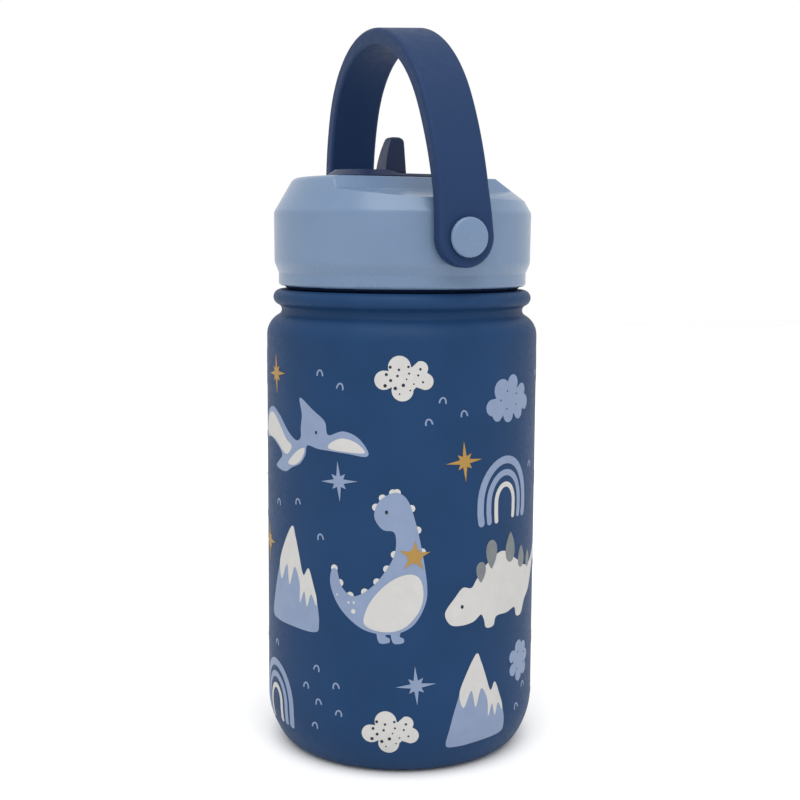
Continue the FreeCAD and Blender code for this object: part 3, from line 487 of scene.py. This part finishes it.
def draw_everything(picture):
    draw_long_neck(picture)
    draw_plated(picture)
    draw_flyer(picture)
    draw_mountains(picture, -33.0, 36.6, 1.12, -4)
    draw_mountains(picture, 21.6, 7.9, 1.0, 0)
    draw_rainbow(picture, 30.2, 65.6, 1.0, 0)
    draw_rainbow(picture, -41.6, 8.6, 1.0, 0)
    draw_dotted_cloud(picture, 0.2, 103.0)
    draw_dotted_cloud(picture, -2.8, 12.4)
    draw_cloud(picture, 31.4, 96.6, BLUE_LOBES)
    draw_cloud(picture, 38.4, 26.2, SMALL_LOBES)
    draw_cloud(picture, 58.0, 103.0, SMALL_LOBES)
    for name, x, y in STARS:
        picture.add(name, 2, placed(star(8, 5.2, 2.7, 1.45), x, y, 1.0, 4))
    picture.add("gold", 3, placed(star(10, 4.1, 1.9, 1.9), 3.5, 58.4, 1.0, -3))
    for k, (x, y) in enumerate(BIRDS):
        draw_bird(picture, x, y, 12 * math.sin(5.0 * k))


def printed_shell(name, shapes):
    """Wraps one ink's shapes round the wall, on every repeat of the picture, as thin closed shells."""
    flat = bmesh.new()
    for layer, outline in shapes:
        lift = PRINT_LIFT + LAYER_STEP * layer
        flat.faces.new([flat.verts.new((x, y, lift)) for x, y in outline])
    flat.normal_update()
    bmesh.ops.triangulate(flat, faces=flat.faces[:])
    reach = max(abs(v.co.x) for v in flat.verts)
    cuts = [((STRIP * k, 0, 0), (1, 0, 0)) for k in range(-int(reach / STRIP) - 1, int(reach / STRIP) + 2)]
    cuts += [((0, height, 0), (0, 1, 0)) for height in range(3, math.ceil(BASE_TOP))]
    for place, facing in cuts:
        geometry = flat.verts[:] + flat.edges[:] + flat.faces[:]
        bmesh.ops.bisect_plane(flat, geom=geometry, plane_co=place, plane_no=facing)
    flat.verts.index_update()
    count = len(flat.verts)
    spots = [v.co.copy() for v in flat.verts]
    fronts = [[v.index for v in face.verts] for face in flat.faces]
    rims = [[loop.vert.index, loop.link_loop_next.vert.index] for face in flat.faces for loop in face.loops
            if loop.edge.is_boundary]
    flat.free()
    points, faces, outward = [], [], []
    for repeat in range(REPEATS):
        around = 2 * math.pi * WALL_RADIUS * repeat / REPEATS
        base = len(points)
        points += [wrapped(p.x + around, p.y, p.z) for p in spots]
        points += [wrapped(p.x + around, p.y, -PRINT_ROOT) for p in spots]
        normals = [wall_normal(p.x + around, p.y) for p in spots]
        for front in fronts:
            faces.append([base + i for i in front])
            outward += [normals[i] for i in front]
            faces.append([base + count + i for i in reversed(front)])
            outward += [-normals[i] for i in reversed(front)]
        for a, b in rims:
            faces.append([base + i for i in (b, a, a + count, b + count)])
            outward += [Vector((0, 0, 0))] * 4
    mesh = bpy.data.meshes.new(name)
    mesh.from_pydata(points, [], faces)
    mesh.normals_split_custom_set(outward)
    mesh.materials.append(INKS[name.removeprefix("print_")])
    shell = bpy.data.objects.new(name, mesh)
    bpy.context.scene.collection.objects.link(shell)
    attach(shell, "bottle")


picture = Picture()
draw_everything(picture)
for ink_name, shapes in picture.shapes.items():
    printed_shell(f"print_{ink_name}", shapes)


# ---------------------------------------------------------------- floor, light and camera
def make_floor():
    size = 3.0
    bpy.ops.mesh.primitive_plane_add(size=size, location=(0, 0, 0))
    floor = bpy.context.object
    floor.name = "floor"
    floor.data.materials.append(Shader("pale_floor", linear("F4F4F4"), 0.6).material)


def make_light(name, azimuth, elevation, distance, size, power):
    """A square area light that looks at the middle of the bottle."""
    data = bpy.data.lights.new(name, "AREA")
    data.size = size
    data.energy = power
    lamp = bpy.data.objects.new(name, data)
    bpy.context.scene.collection.objects.link(lamp)
    a, e = math.radians(azimuth), math.radians(elevation)
    back = Vector((math.sin(a) * math.cos(e), -math.cos(a) * math.cos(e), math.sin(e)))
    lamp.location = Vector((0, 0, 0.09)) + back * distance
    lamp.rotation_mode = "QUATERNION"
    lamp.rotation_quaternion = (-back).to_track_quat("-Z", "Y")


def make_world(strength):
    world = bpy.data.worlds.new("studio")
    world.use_nodes = True
    world.node_tree.nodes["Background"].inputs["Color"].default_value = (1, 1, 1, 1)
    world.node_tree.nodes["Background"].inputs["Strength"].default_value = strength
    bpy.context.scene.world = world


def make_camera():
    data = bpy.data.cameras.new("camera")
    data.lens = CAMERA_LENS
    data.sensor_width = SENSOR
    data.clip_start, data.clip_end = 0.01, 20
    camera = bpy.data.objects.new("camera", data)
    bpy.context.scene.collection.objects.link(camera)
    a, e = math.radians(CAMERA_AZIMUTH), math.radians(CAMERA_PITCH)
    camera.location = (CAMERA_DISTANCE * math.sin(a), -CAMERA_DISTANCE * math.cos(a), CAMERA_HEIGHT)
    turn = math.radians(CAMERA_AZIMUTH + CAMERA_YAW)
    spin = Matrix.Rotation(turn, 4, "Z") @ Matrix.Rotation(math.pi / 2 - e, 4, "X")
    camera.rotation_mode = "QUATERNION"
    camera.rotation_quaternion = (spin @ Matrix.Rotation(math.radians(CAMERA_ROLL), 4, "Z")).to_quaternion()
    bpy.context.scene.camera = camera


make_floor()
make_world(1.0)
make_light("key", CAMERA_AZIMUTH, 62, 1.6, 1.5, 21)
make_camera()
bpy.context.scene.view_settings.view_transform = "Standard"
